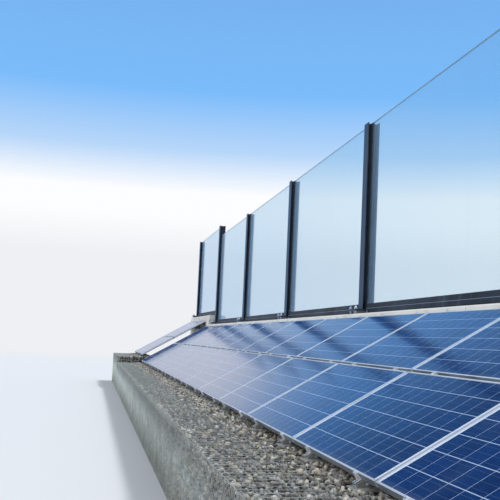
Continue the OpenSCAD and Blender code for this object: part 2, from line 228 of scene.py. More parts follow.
class Wire:
    """A number on its way through a material. Arithmetic on it adds Math nodes."""

    def __init__(self, finish, socket):
        self.finish, self.socket = finish, socket

    def maths(self, operation, *values):
        return self.finish.number("ShaderNodeMath", {"operation": operation}, dict(enumerate(values)))

    def __rsub__(self, other):
        return self.maths("SUBTRACT", other, self)

    __add__ = __radd__ = math_node("ADD")
    __mul__ = __rmul__ = math_node("MULTIPLY")
    __sub__, __truediv__, __pow__ = math_node("SUBTRACT"), math_node("DIVIDE"), math_node("POWER")
    __gt__, __lt__, largest = math_node("GREATER_THAN"), math_node("LESS_THAN"), math_node("MAXIMUM")
    __abs__, fraction, floor = math_node("ABSOLUTE"), math_node("FRACT"), math_node("FLOOR")
    root = math_node("SQRT")

    def from_middle(self, pitch):
        """Distance from the middle of a stretch, where stretches of one pitch follow each other."""
        return abs((self / pitch).fraction() - 0.5) * pitch

    def between(self, low, high, start=0.0, end=1.0):
        """Eases from start to end while the number goes from low to high."""
        ends = {"Value": self, "From Min": low, "From Max": high, "To Min": start, "To Max": end}
        return self.finish.number("ShaderNodeMapRange", {"interpolation_type": "SMOOTHSTEP"}, ends)


class Nodes:
    """A tree of nodes in the making, with one method for any node."""

    def __init__(self, owner, end):
        owner.use_nodes = True
        self.tree = owner.node_tree
        self.tree.nodes.clear()
        self.end = self.node(end)

    def node(self, kind, settings=None, sockets=None):
        """Adds a node. Settings come first, then the values or links of its sockets."""
        node = self.tree.nodes.new(kind)
        for key, value in (settings or {}).items():
            if key == "stops":
                ramp = node.color_ramp.elements
                while len(ramp) < len(value):
                    ramp.new(0.5)
                for stop, (place, colour) in zip(ramp, value):
                    stop.position, stop.color = place, (*colour, 1)
            else:
                setattr(node, key, value)
        for key, value in (sockets or {}).items():
            self.set(node.inputs[key], value)
        return node

    def set(self, target, value):
        """Links a socket or gives it a plain value."""
        if isinstance(value, Wire):
            value = value.socket
        if isinstance(value, bpy.types.NodeSocket):
            self.tree.links.new(value, target)
        elif target.type == "RGBA":
            target.default_value = (*value, 1)
        else:
            target.default_value = value

    def number(self, kind, settings=None, sockets=None, output=0):
        return Wire(self, self.node(kind, settings, sockets).outputs[output])

    def show(self, shader):
        self.tree.links.new(shader, self.end.inputs["Surface"])

    def ramp(self, value, *stops):
        return self.node("ShaderNodeValToRGB", {"stops": stops}, {"Fac": value}).outputs[0]

    def seen_directly(self):
        """One for what the camera sees itself, in a mirror or through glass, else nothing."""
        path, rays = self.node("ShaderNodeLightPath").outputs, ("Camera", "Glossy", "Transmission")
        camera, mirror, glass = (Wire(self, path[f"Is {ray} Ray"]) for ray in rays)
        return camera.largest(mirror.largest(glass))

    def place(self, scale=(1, 1, 1), output="Object"):
        """Coordinates of the surface, in metres times scale."""
        coordinates = self.node("ShaderNodeTexCoord").outputs[output]
        return self.node("ShaderNodeMapping", None, {"Vector": coordinates, "Scale": scale}).outputs[0]

    def parts(self, vector):
        """The three numbers of a vector."""
        split = self.node("ShaderNodeSeparateXYZ", None, {"Vector": vector})
        return [Wire(self, socket) for socket in split.outputs]

    def noise(self, vector, scale, detail, rough=0.5):
        sockets = {"Vector": vector, "Scale": scale, "Detail": detail, "Roughness": rough}
        return self.number("ShaderNodeTexNoise", None, sockets)

    def flakes(self, vector, scale):
        """Three numbers that differ from flake to flake."""
        flake = self.node("ShaderNodeTexVoronoi", None, {"Vector": vector, "Scale": scale})
        return self.parts(flake.outputs["Color"])

    def join(self, *numbers):
        """A vector of three numbers."""
        return self.node("ShaderNodeCombineXYZ", None, dict(enumerate(numbers))).outputs[0]

    def tint(self):
        """Three numbers that differ from copy to copy."""
        return self.parts(self.node("ShaderNodeAttribute", {"attribute_name": "tint"}).outputs["Vector"])

    def grazing(self):
        """Nothing where the surface faces the eye, one where it is edge-on."""
        return self.number("ShaderNodeLayerWeight", None, {"Blend": 0.5}, output=1)

    def blend(self, factor, first, second, how="MIX"):
        """Mixes two colours."""
        settings = {"data_type": "RGBA", "blend_type": how}
        return self.node("ShaderNodeMix", settings, {0: factor, 6: first, 7: second}).outputs[2]

    def bump(self, height, distance, strength):
        sockets = {"Height": height, "Distance": distance, "Strength": strength}
        return self.node("ShaderNodeBump", None, sockets).outputs[0]

    def facing(self):
        """The surface's normal as three numbers."""
        return self.parts(self.node("ShaderNodeNewGeometry").outputs["Normal"])


class Finish(Nodes):
    """A material in the making."""

    def __init__(self, name):
        self.material = bpy.data.materials.new(name)
        super().__init__(self.material, "ShaderNodeOutputMaterial")
        self.shader = self.node("ShaderNodeBsdfPrincipled")
        self.show(self.shader.outputs[0])

    def surface(self, **sockets):
        """Sets the shader's sockets; an underscore in a name stands for a space."""
        for key, value in sockets.items():
            self.set(self.shader.inputs[key.replace("_", " ")], value)
        return self.material

    def show_mix(self, factor, first, second):
        """Shows two shaders, the second by the factor's share."""
        sockets = {0: factor, 1: first.outputs[0], 2: second.outputs[0]}
        self.show(self.node("ShaderNodeMixShader", None, sockets).outputs[0])


def toned(colour, share, lift=0.0):
    """A colour made lighter or darker."""
    return tuple(min(1.0, part * share + lift) for part in colour)


def coated_steel(name, colour, dust, settled, sheen, gleam):
    """Powder-coated steel with dulled patches, faint runs, dust on upper faces and a bluish sheen. On the
    base rails the upper faces' colour is a painted sky highlight with some dust.
    """
    look = Finish(name)
    spot = look.place()
    cloudy = look.noise(spot, 1.7, 4.0)
    streaks = look.noise(look.place((14, 14, 0.9)), 1.0, 3.0)
    grain = look.noise(spot, 420.0, 2.0)
    upward = look.facing()[2].between(0.35, 0.95)
    # Upper faces take the given colour: dust on the posts, and on the base rails' ledges a painted sky
    # highlight with some dust.
    soiled = cloudy.between(0.35, 0.75) * 0.05 + upward * settled + streaks.between(0.55, 0.8) * 0.07
    base = look.blend(cloudy.between(0.3, 0.75), colour, toned(colour, 1.4, 0.003))
    return look.surface(
        Base_Color=look.blend(soiled, base, dust),
        Roughness=0.46 + cloudy * 0.14 + soiled * 0.3,
        Specular_IOR_Level=0.12,
        Sheen_Weight=gleam,
        Sheen_Roughness=0.4,
        Sheen_Tint=sheen,
        Normal=look.bump(grain, 0.0004, 0.35),
    )


def galvanised(name, colour, metal=0.82, soiled=0.0, sides=0.0):
    """Hot-dip zinc: dull spangle, pale bloom, soil on its upper faces, and painted shade on its faces
    turned along the barrier.
    """
    look = Finish(name)
    spot = look.place()
    spangle = look.flakes(spot, 55.0)[0]
    bloom = look.noise(spot, 6.0, 4.0)
    mottled = spangle * 0.5 + bloom.between(0.3, 0.8) * 0.5
    zinc = look.blend(mottled, toned(colour, 0.62), toned(colour, 1.22))
    x, _, z = look.facing()
    # One dark colour serves both: soil on upper faces, and painted shade on faces turned along the
    # barrier.
    grime_and_side_shade = (z.between(0.1, 0.8) * soiled).largest(abs(x).between(0.6, 0.9) * sides)
    return look.surface(
        Base_Color=look.blend(grime_and_side_shade, zinc, (0.14, 0.14, 0.13)),
        Metallic=metal * (1 - bloom.between(0.45, 0.8) * 0.4) * (1 - grime_and_side_shade),
        Roughness=0.38 + spangle * 0.12 + bloom * 0.16,
        Normal=look.bump(look.noise(spot, 90.0, 3.0), 0.0008, 0.4),
    )


def drawn_aluminium(name, colour, metal, roughness, soil, sides=0.0, foot=0.0):
    """Extruded aluminium with die lines, road film in patches, soil near its foot, and painted shade on
    faces that look towards the low edge of the slope and on faces turned along the barrier.
    """
    soil_line, soil_fade = foot + 0.040, 0.012
    look = Finish(name)
    lines = look.noise(look.place((2.0, 260, 260)), 1.0, 2.0)
    film = look.noise(look.place(), 3.2, 5.0)
    specks = look.noise(look.place(), 70.0, 2.0)
    x, y, z = look.facing()
    # Painted shade: faces that look towards the low edge of the slope and faces turned along the barrier
    # are darkened as if in shade.
    down_slope_shade = (y * -UP_SLOPE[1] - z * UP_SLOPE[2]).between(0.5, 0.9)
    side_shade_mask = abs(x).between(0.6, 0.9) * sides
    settled = look.parts(look.place())[2].between(soil_line, soil_line + soil_fade, 0.35, 0.0)
    patchy = film.between(0.42, 0.75) * 0.2 + specks.between(0.62, 0.75) * 0.15
    # This share holds the real road film and the soil near the foot, together with the painted shade of
    # faces towards the low edge.
    soiled = patchy + (down_slope_shade * 0.8).largest(settled)
    lined = look.blend(lines * 0.3, colour, toned(colour, 0.86))
    side_shaded = look.blend(side_shade_mask, lined, (0.10, 0.09, 0.08))
    return look.surface(
        Base_Color=look.blend(soiled, side_shaded, soil),
        Metallic=metal - soiled * 0.3 - side_shade_mask * 0.3,
        Roughness=roughness + soiled * 0.25 + lines * 0.08,
        Normal=look.bump(lines, 0.0002, 0.4),
    )


def cast_concrete(name, colour, stain):
    """Fair-faced concrete: formwork joints, tie holes, blowholes and rain streaks."""
    board, joint_width = 2.4, 0.008
    tie_along, tie_up, tie_radius, tie_rim = 1.2, 1.02, 0.010, 0.003
    look = Finish(name)
    spot = look.place()
    x, _, z = look.parts(spot)
    mottle = look.noise(spot, 1.3, 6.0, 0.6)
    grain = look.noise(spot, 60.0, 4.0, 0.6)
    runs = look.noise(look.place((5.5, 5.5, 0.35)), 1.0, 4.0)
    foot = z.between(0.0, 0.7, 1.0, 0.0)
    upright = 1 - abs(look.facing()[2]).between(0.3, 0.7)
    joint = (x.from_middle(board) > (board - joint_width) / 2) * upright
    hole_x = (x + tie_along / 2).from_middle(tie_along)
    hole_z = (z + tie_up / 2).from_middle(tie_up)
    reach = (hole_x * hole_x + hole_z * hole_z).root()
    tie = (1 - reach.between(tie_radius, tie_radius + tie_rim)) * upright
    blow = look.number("ShaderNodeTexVoronoi", None, {"Vector": spot, "Scale": 17.0})
    pits = (1 - blow.between(0.045, 0.075)) * grain.between(0.45, 0.55)
    worn = look.blend(mottle.between(0.3, 0.72), colour, toned(colour, 0.87))
    streaked = look.blend(runs.between(0.5, 0.78) * upright * 0.42 + foot * 0.3, worn, stain)
    speckled = look.blend(grain.between(0.3, 0.8) * 0.18, streaked, (0.9, 0.88, 0.84))
    dark = (joint * 0.55).largest((tie * 0.75).largest(pits * 0.5))
    return look.surface(
        Base_Color=look.blend(dark, speckled, (0.12, 0.115, 0.105)),
        Roughness=0.82 + mottle * 0.1,
        Normal=look.bump(grain * 0.35 + mottle * 0.4 - joint - tie * 1.5 - pits, 0.004, 0.5),
    )


def broken_stone():
    """Quarry stone, each piece with its own tone, with veins, dust and rough breaks."""
    look = Finish("quarry stone")
    # The first tint number is each copy's tone. It also carries painted light: darker chips and the black
    # heart as painted shade, lighter side stones as painted light.
    shade, warm, own = look.tint()
    spot = look.place()
    clouds = look.noise(spot, 38.0, 5.0, 0.65)
    crystal = look.noise(spot, 160.0, 3.0, 0.6)
    vein = abs(look.noise(spot, 9.0, 4.0) - 0.5)
    grey = look.ramp(
        shade, (0.0, (0.008, 0.008, 0.008)), (0.08, (0.07, 0.07, 0.075)),
        (0.45, (0.22, 0.222, 0.225)), (0.8, (0.40, 0.40, 0.39)), (1.0, (0.78, 0.77, 0.73)))
    ochre = look.ramp(
        shade, (0.0, (0.008, 0.008, 0.007)), (0.1, (0.10, 0.088, 0.065)),
        (0.5, (0.30, 0.265, 0.20)), (1.0, (0.66, 0.58, 0.45)))
    body = look.blend(warm, grey, ochre)
    dull = look.blend(1.0, body, (0.48, 0.47, 0.45), "MULTIPLY")
    mottled = look.blend(clouds.between(0.42, 0.62) * 0.8, body, dull)
    veins = (1 - vein.between(0.0, 0.035)) * own.between(0.55, 0.65) * 0.5
    veined = look.blend(veins, mottled, (0.6, 0.58, 0.54))
    specks = crystal.between(0.3, 0.7) * 0.12 * shade.between(0.02, 0.08)
    dusty = look.facing()[2].between(0.2, 0.95) * specks
    return look.surface(
        Base_Color=look.blend(dusty, veined, (0.5, 0.48, 0.44)),
        Roughness=0.78 + crystal * 0.15,
        Normal=look.bump(clouds * 0.6 + crystal * 0.4, 0.006, 0.55),
    )


def cell_steps(sizes):
    """Spacings of the cells along a solar panel and up it."""
    return sizes.cell + sizes.cell_gap, sizes.cell + sizes.string_gap


def solar_glass(sizes, colours):
    """Cells behind toughened glass: flaked silicon, ribbons, gaps and a film of dust."""
    ribbon_pitch = sizes.cell / 3
    finger_pitch, finger_width = 0.0024, 0.000216
    step_u, step_v = cell_steps(sizes)
    half_u, half_v = CELLS_ALONG / 2 * step_u, CELLS_UP / 2 * step_v
    look = Finish("solar cells")
    u, v, _ = look.parts(look.place(output="UV"))
    panel = look.tint()[0]
    off_u, off_v = u.from_middle(step_u), v.from_middle(step_v)
    gap = (off_u > sizes.cell / 2).largest(off_v > sizes.cell / 2)
    past_u = abs(u - half_u) > half_u - sizes.cell_gap / 2
    past_v = abs(v - half_v) > half_v - sizes.string_gap / 2
    ribbons = (off_v + ribbon_pitch / 2).from_middle(ribbon_pitch) < sizes.ribbon / 2
    fingers = u.from_middle(finger_pitch) < finger_width / 2
    cell_number = look.join((u / step_u).floor(), (v / step_v).floor(), panel * 40)
    lot = look.number("ShaderNodeTexWhiteNoise", {"noise_dimensions": "3D"}, {"Vector": cell_number})
    flat = look.join(u, v, panel * 9)
    flaked = look.flakes(flat, 120.0)[0] * 0.34 + look.flakes(flat, 38.0)[1] * 0.16
    silicon = flaked + lot * 0.4 + panel * 0.14
    blue = look.blend(silicon.between(0.1, 1.05), colours.cell_dark, colours.cell_light)
    lined = look.blend((fingers * 0.12).largest(ribbons * 0.22), blue, colours.ribbon)
    sheet = look.blend(past_u.largest(past_v), look.blend(gap, lined, colours.cell_gap), colours.margin)
    dust = look.noise(look.place(), 2.1, 5.0)
    low_edge = v.between(-0.02, 0.05, 1.0, 0.0)
    film = dust.between(0.4, 0.8) * 0.03 + low_edge * 0.15 + dust.between(0.55, 0.6) * 0.01
    return look.surface(
        Base_Color=look.blend(film, sheet, colours.dust),
        Roughness=0.5,
        Specular_IOR_Level=0.0,
        Coat_Weight=look.grazing().between(0.65, 0.84, 0.12, 1.0) * (1 - film),
        Coat_Roughness=0.11,
        Coat_IOR=1.7,
        Sheen_Weight=0.28,
        Sheen_Roughness=0.4,
        Sheen_Tint=colours.sheen,
    )


def back_sheet():
    """White plastic back of a solar panel, slightly ribbed by the cells behind it."""
    look = Finish("white back sheet")
    ribs = look.noise(look.place(), 12.0, 3.0)
    return look.surface(
        Base_Color=look.blend(ribs.between(0.3, 0.8) * 0.4, (0.78, 0.79, 0.79), (0.66, 0.66, 0.65)),
        Roughness=0.5 + ribs * 0.15,
    )


def clear_pane(colours):
    """Clear pane with dark blue-green edges and road film, thicker near its foot."""
    film_height, straight_gloss = 1.2, 0.04
    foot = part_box("pane_1")[0][2]
    look = Finish("clear pane")
    x, _, z = look.facing()
    edge = abs(z).largest(abs(x)).between(0.4, 0.6)
    height = look.parts(look.place())[2]
    film = look.noise(look.place(), 1.44, 5.0)
    runs = look.noise(look.place((11.0, 11.0, 0.5)), 1.0, 3.0)
    low = height.between(foot, foot + film_height, 1.0, 0.0)
    hazy = 0.03 + film.between(0.35, 0.8) * 0.010 + runs.between(0.5, 0.8) * 0.012 + low * 0.012
    gloss = straight_gloss + look.grazing() ** 5 * (1 - straight_gloss)
    clear = look.node("ShaderNodeBsdfTransparent", None, {"Color": colours.pane})
    look.show_mix((gloss * 0.9 + hazy).largest(edge), clear, look.shader)
    return look.surface(
        Base_Color=look.blend(edge, colours.film, colours.pane_edge),
        Roughness=0.02 + edge * 0.3,
    )


def black_rubber():
    """Rubber glazing profile, greyed in patches."""
    look = Finish("black rubber")
    worn = look.noise(look.place(), 14.0, 4.0)
    return look.surface(
        Base_Color=look.blend(worn.between(0.35, 0.8) * 0.5, (0.018, 0.018, 0.02), (0.07, 0.07, 0.07)),
        Roughness=0.62 + worn * 0.2,
    )


def bedding_mortar():
    """Rough grey mortar under the base plates."""
    look = Finish("bedding mortar")
    grit = look.noise(look.place(), 85.0, 5.0, 0.65)
    damp = look.noise(look.place(), 8.0, 3.0)
    return look.surface(
        Base_Color=look.blend(damp.between(0.35, 0.7), (0.3, 0.29, 0.275), (0.44, 0.43, 0.41)),
        Roughness=0.9,
        Normal=look.bump(grit, 0.003, 0.8),
    )


def pale_floor(colour, backdrop):
    """Floor that keeps the barrier's shadow and fades into the backdrop far away."""
    middle_x, fade_start, fade_end = -2.0, 16.0, 55.0
    look = Finish("pale floor")
    x, y, _ = look.parts(look.place())
    off = x - middle_x
    away = (off * off + y * y).root()
    look.surface(Base_Color=colour, Roughness=0.9)
    glow = look.node("ShaderNodeEmission", None, {"Color": backdrop, "Strength": 1.0})
    look.show_mix(away.between(fade_start, fade_end) * look.seen_directly(), look.shader, glow)
    return look.material


def dress(material, *nodes):
    """Gives CAD nodes their finish."""
    for node in nodes:
        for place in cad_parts[node].material_slots:
            place.material = material


# Gabions


def broken_shape(dice, corners):
    """A broken stone: the hull of a few corners on an uneven ball."""
    shape = bmesh.new()
    for _ in range(corners):
        way = Vector((dice.gauss(0, 1), dice.gauss(0, 1), dice.gauss(0, 1))).normalized()
        shape.verts.new(way * dice.uniform(0.82, 1.0))
    bmesh.ops.convex_hull(shape, input=shape.verts)
    inner = [corner for corner in shape.verts if not corner.link_faces]
    bmesh.ops.delete(shape, geom=inner, context="VERTS")
    bmesh.ops.recalc_face_normals(shape, faces=shape.faces)
    bmesh.ops.scale(
        shape, verts=shape.verts,
        vec=(dice.uniform(1.0, 1.35), dice.uniform(0.8, 1.05), dice.uniform(0.6, 0.9)),
    )
    return as_mesh(shape, "stone")


def stone_kinds(dice, count, corners):
    """Several stones, each with its corner points."""
    kinds = []
    for _ in range(count):
        mesh = broken_shape(dice, corners)
        kinds.append((mesh, read(mesh.vertices, "co", 3)))
    return kinds


def heap(plates, low, high, sizes):
    """How far the stones near the panels rise over the mesh, and the share by which they are warmer and
    painted lighter, against the panels' shade.

    Stones beside the foot plates of the sloping rails don't rise.
    """
    heap_start, heap_full = 0.3, 0.62
    depth = high.y - low.y
    start, end = low.y + heap_start * depth, low.y + heap_full * depth

    def rise(u, v, reach):
        x, y = low.x + u, low.y + v
        share = min(1.0, max(0.0, (y - start) / (end - start)))
        for near, far in plates:
            if near[0] - reach < x < far[0] + reach and near[1] - reach < y < far[1] + reach:
                return 0.0, share
        return share * sizes.heap, share

    return rise


def lay_stones(dice, kinds, side, pitch, size, depths, shade, rise):
    """Stones that fill one side of a basket, their faces a little inside its mesh.

    The side is a matrix that turns along, up and outwards into place, a length and a width.
    """
    scatter, smallest, largest, tone_spread, ochre_share = 0.3, 0.7, 1.3, 0.30, 0.06
    face, length, width = side
    columns, rows = max(1, round(length / pitch)), max(1, round(width / pitch))
    laid = [[] for _ in kinds]
    tints = [[] for _ in kinds]
    for i in range(columns):
        for j in range(rows):
            u = (i + 0.25 + 0.5 * (j % 2) + dice.uniform(-scatter, scatter)) / columns * length
            v = (j + 0.5 + dice.uniform(-scatter, scatter)) / rows * width
            choice = dice.randrange(len(kinds))
            turn = Euler([dice.uniform(0, math.tau) for _ in range(3)]).to_matrix()
            radius = dice.uniform(smallest, largest) * size / 2
            low, high = limits(kinds[choice][1] @ np.array(turn).T * radius)
            u = min(max(u, -low[0]), length - high[0])
            v = min(max(v, -low[1]), width - high[1])
            depth = depths[0] + dice.random() ** 1.5 * (depths[1] - depths[0])
            lift, share = rise(u, v, radius) if rise else (0.0, 0.0)
            middle = Vector((u, v, lift - high[2] - depth))
            local = Matrix.Translation(middle) @ turn.to_4x4() @ Matrix.Scale(radius, 4)
            laid[choice].append(np.array(face @ local))
            # The share near the panels lifts the tone: painted light against the panels' shade.
            tone = min(0.98, max(0.1, dice.gauss(shade + 0.1 * share, tone_spread)))
            warm = dice.random() ** (2.6 - 1.6 * share) if dice.random() > ochre_share else 1.0
            tints[choice].append((tone, warm, dice.random()))
    return [(kind[0], places, shades) for kind, places, shades in zip(kinds, laid, tints)]


# Directions along, up and outwards
SIDES = {
    "front": ((1, 0, 0), (0, 0, 1), (0, -1, 0)),
    "top": ((1, 0, 0), (0, 1, 0), (0, 0, 1)),
    "back": ((1, 0, 0), (0, 0, 1), (0, 1, 0)),
    "right": ((0, 1, 0), (0, 0, 1), (1, 0, 0)),
    "left": ((0, 1, 0), (0, 0, 1), (-1, 0, 0)),
}


def box_side(name, low, high):
    """Matrix, length and width of one side of a block."""
    along, up, outward = (Vector(way) for way in SIDES[name])
    turn = Matrix((along, up, outward)).transposed().to_4x4()
    corner = Vector([far if way > 0 else near for near, far, way in zip(low, high, outward)])
    return Matrix.Translation(corner) @ turn, (high - low).dot(along), (high - low).dot(up)


def fill_gabion(number, sizes, stone):
    """Stones of one gabion, replacing its plain block."""
    dice = random.Random(SEED + number)
    skin = Vector((sizes.wire, sizes.wire, 0)) * 2
    low, high = box_corners(f"basket_{number}")
    low, high = low + skin, high - skin
    fine = stone_kinds(dice, count=16, corners=12)
    rough = stone_kinds(dice, count=12, corners=7)
    plates = [limits(corners) for corners in islands("rail_feet")]
    plates = [plate for plate in plates if low.x < plate[1][0] and plate[0][0] < high.x]
    shown = ["front", "top", "back"]
    if number in (1, GABIONS):
        shown.append("right")
    if number == GABIONS:
        shown.append("left")
    groups = []
    for side in shown:
        top, back = side == "top", side == "back"
        face = box_side(side, low, high)
        rise = heap(plates, low, high, sizes) if top else None
        play = sizes.stone_play if top else sizes.front_play
        # Painted light: small stones deep in the gaps are toned darker as painted shade, and stones on the
        # upright sides are lighter than those on top as painted light against their shade.
        stone_tone_with_painted_light, chip_painted_shade = (0.56, 0.22) if top else (0.80, 0.62)
        coarser = 1.6 if back else 1.0
        layers = (
            (rough if back else fine, sizes.stone_pitch, sizes.stone, 0.0, stone_tone_with_painted_light),
            (rough, sizes.chip_pitch, sizes.chip, sizes.chip_depth, chip_painted_shade),
        )
        for kinds, pitch, size, depth, shade in layers:
            depths = (depth, depth + play)
            groups += lay_stones(dice, kinds, face, pitch * coarser, size * coarser, depths, shade, rise)
    # Painted shade: a near-black block inside the stones stands for the shade deep between them.
    core = bmesh.new()
    bmesh.ops.create_cube(core, size=1.0)
    inset, shade_core_tint = sizes.heart_inset, (0.02, 0.3, 0.5)
    low, high = low + Vector((inset, inset, 0)), high - Vector((inset, inset, inset))
    place = Matrix.Translation((low + high) / 2) @ Matrix.Diagonal((*(high - low), 1))
    groups.append((as_mesh(core, "heart"), [np.array(place)], [shade_core_tint]))
    keep(spread(f"stones_{number}", groups), [stone], "stone_fill", f"gabion_{number}")


def straight_wire(start, end, thickness):
    """Matrix that lays a unit rod between two points."""
    start, end = Vector(start), Vector(end)
    size = Matrix.Diagonal((thickness, thickness, (end - start).length, 1))
    return np.array(Matrix.Translation((start + end) / 2) @ aimed(end - start) @ size)


def even(low, high, pitch):
    """Places between two ends, no further apart than the pitch."""
    return np.linspace(low, high, max(2, math.ceil((high - low) / pitch) + 1))


def weave_basket(number, sizes, metal):
    """Welded mesh of one basket, replacing its coarse bars."""
    low, high = box_corners(f"basket_{number}")
    rod = bmesh.new()
    add_block(rod, segments=6, radius=0.5, bottom=-0.5, height=1.0)
    thick, half, heavy = sizes.wire, sizes.wire / 2, sizes.edge_wire
    wires = []

    def add(start, end, thickness=thick):
        wires.append(straight_wire(start, end, thickness))

    x0, x1, y0, y1, z0, z1 = low.x + half, high.x - half, low.y + half, high.y - half, low.z, high.z - half
    along_x = even(x0, x1, sizes.mesh_along)
    along_y = even(y0, y1, sizes.mesh_across)
    along_z = even(z0 + half, z1, sizes.mesh_across)
    for x in along_x:
        add((x, y0, z1), (x, y1, z1))
        add((x, y1, z0), (x, y1, z1))
    for x in even(x0, x1, sizes.mesh_front):
        add((x, y0, z0), (x, y0, z1))
    for y in along_y[1:-1]:
        add((x0, y, z1 - thick), (x1, y, z1 - thick))
    for z in along_z[:-1]:
        add((x0, y0 + thick, z), (x1, y0 + thick, z))
        add((x0, y1 - thick, z), (x1, y1 - thick, z))
    for x in (x0, x1):
        for y in even(y0, y1, sizes.mesh_along):
            add((x, y, z0), (x, y, z1))
        for z in along_z[:-1]:
            add((x, y0, z), (x, y1, z))
    rim = Vector((heavy, heavy, heavy)) / 2
    (left, front, _), (right, back, ridge) = low + rim, high - rim
    for x in (left, right):
        add((x, front, ridge), (x, back, ridge), heavy)
        for y in (front, back):
            add((x, y, z0), (x, y, ridge), heavy)
    for y in (front, back):
        add((left, y, ridge), (right, y, ridge), heavy)
    mesh = spread(f"mesh_basket_{number}", [(as_mesh(rod, "rod"), wires, [PLAIN_TINT] * len(wires))])
    keep(mesh, [metal], "basket_wire", f"basket_{number}")


# Solar panels


def lay_laminates(row, glass, back, sizes):
    """Laminates of one row of panels, each with its own cell layout."""
    dice = random.Random(PANEL_SEED)
    step_u, step_v = cell_steps(sizes)
    middle_u, middle_v = CELLS_ALONG * step_u / 2, CELLS_UP * step_v / 2
    shape = bmesh.new()
    chart = shape.loops.layers.uv.new("cells")
    tint = shape.verts.layers.float_color.new("tint")
    for corners in islands(f"laminates_{row}"):
        low, high = limits(on_slope(corners))
        size, middle = high - low, (high + low) / 2
        made = bmesh.ops.create_cube(shape, size=1.0)["verts"]
        place = slope_matrix(*middle) @ Matrix.Diagonal((*size, 1))
        tone = dice.random()
        for corner in made:
            corner[tint] = (tone, 0, 0, 1)
        for face in {face for corner in made for face in corner.link_faces}:
            face.material_index = 0 if face.normal.z > 0.5 else 1
            for loop in face.loops:
                x, y, _ = loop.vert.co
                loop[chart].uv = (x * size[0] + middle_u, y * size[1] + middle_v)
        bmesh.ops.transform(shape, matrix=place, verts=made)
    keep(as_mesh(shape, f"cells_{row}"), [glass, back], "solar_cells", f"laminates_{row}")


# Fastenings


def hexagon_bolt(across, head, washer, washer_thick, shank=0.0, tail=0.0):
    """Hexagon head or nut on a washer, with a shank above it and a tail below."""
    chamfer, shank_radius = across * 0.05, across * 0.32
    shape = bmesh.new()
    add_block(shape, segments=24, radius=washer / 2, bottom=0.0, height=washer_thick)
    if shank:
        length = washer_thick + head + shank + tail
        add_block(shape, segments=16, radius=shank_radius, bottom=-tail, height=length)
    corners = add_block(shape, segments=6, radius=across / math.sqrt(3), bottom=washer_thick, height=head)
    rim = dict.fromkeys(edge for corner in corners for edge in corner.link_edges)
    # Nothing is added after the bevel, so that the faces' order is the same in each run
    bmesh.ops.bevel(
        shape, geom=list(rim), offset=chamfer, segments=2, profile=0.5,
        affect="EDGES", material=-1, offset_type="OFFSET")
    return as_mesh(shape, "bolt")


def bolt_on(outward, place, dice):
    """Matrix that stands a bolt on a surface, turned by chance."""
    spin = Matrix.Rotation(dice.uniform(0, 1), 4, "Z")
    return np.array(Matrix.Translation(place) @ aimed(outward) @ spin)


def anchor_places(sizes, dice):
    """Nuts on the anchor bolts of the posts' base plates."""
    places = []
    for post in numbered("post", POSTS):
        low, high = box_corners(post)
        middle, top = (low + high) / 2, low.z + sizes.base_plate
        for x in (middle.x - sizes.anchor_x / 2, middle.x + sizes.anchor_x / 2):
            for y in (middle.y - sizes.anchor_y / 2, middle.y + sizes.anchor_y / 2):
                places.append(bolt_on((0, 0, 1), (x, y, top), dice))
    return places


def clamp_places(dice):
    """Bolts in the middle clamps' plates and in the bodies of the shorter end clamps."""
    end_clamp, bolt_edge = 0.035, 0.008
    places = []
    frames = np.concatenate([on_slope(corners) for corners in islands("panel_frames_upper")])
    for corners in islands("panel_clamps"):
        low, high = limits(on_slope(corners))
        up = (low[1] + high[1]) / 2
        if high[1] - low[1] < end_clamp:
            up = high[1] - bolt_edge if up > frames[:, 1].mean() else low[1] + bolt_edge
        place = slope_matrix((low[0] + high[0]) / 2, up, high[2])
        places.append(np.array(place @ Matrix.Rotation(dice.uniform(0, 1), 4, "Z")))
    return places


def foot_places(sizes, dice):
    """Bolts in the foot plates on the gabions, and through the saddles' cheeks."""
    over_plate = 0.004
    plate, cheek = [], []
    for corners in islands("rail_feet"):
        low, high = limits(corners)
        floor = low[2] + sizes.foot_plate
        for x in (low[0] + sizes.bolt_edge, high[0] - sizes.bolt_edge):
            plate.append(bolt_on((0, 0, 1), (x, high[1] - sizes.bolt_edge, floor), dice))
        (left, _, _), (right, back, _) = limits(corners[corners[:, 2] > floor + over_plate])
        y, z = back - sizes.cheek_edge, floor + sizes.cheek_edge
        cheek.append(bolt_on((1, 0, 0), (right, y, z), dice))
        cheek.append(bolt_on((-1, 0, 0), (left, y, z), dice))
    return plate, cheek


def bracket_places(dice):
    """Bolts in the wall brackets' back plates."""
    plate, spacing, height = 0.008, 0.056, 0.030
    places = []
    for corners in islands("wall_brackets"):
        low, high = limits(corners)
        middle = (low[0] + high[0]) / 2
        for x in (middle - spacing / 2, middle + spacing / 2):
            places.append(bolt_on((0, -1, 0), (x, high[1] - plate, low[2] + height), dice))
    return places


def cleat_places(dice):
    """Bolts in the feet of the base rails' cleats."""
    foot, bolt_edge = 0.004, 0.011
    places = []
    for corners in islands("rail_cleats"):
        low, high = limits(corners)
        middle = (low[0] + high[0]) / 2
        places.append(bolt_on((0, 0, 1), (middle, low[1] + bolt_edge, low[2] + foot), dice))
    return places


# Stage


CAMERA_PLACE = (13.660, -2.2095, 1.465)
CAMERA_YAW = math.radians(78.86)
CAMERA_PITCH = math.radians(4.66)
CAMERA_ROLL = math.radians(2.61)
CAMERA_LENS = 57.33
CAMERA_SENSOR = 36.0
CAMERA_SHIFT = 0.0512
CAMERA_REACH = 500.0
FLOOR_RADIUS = 120.0


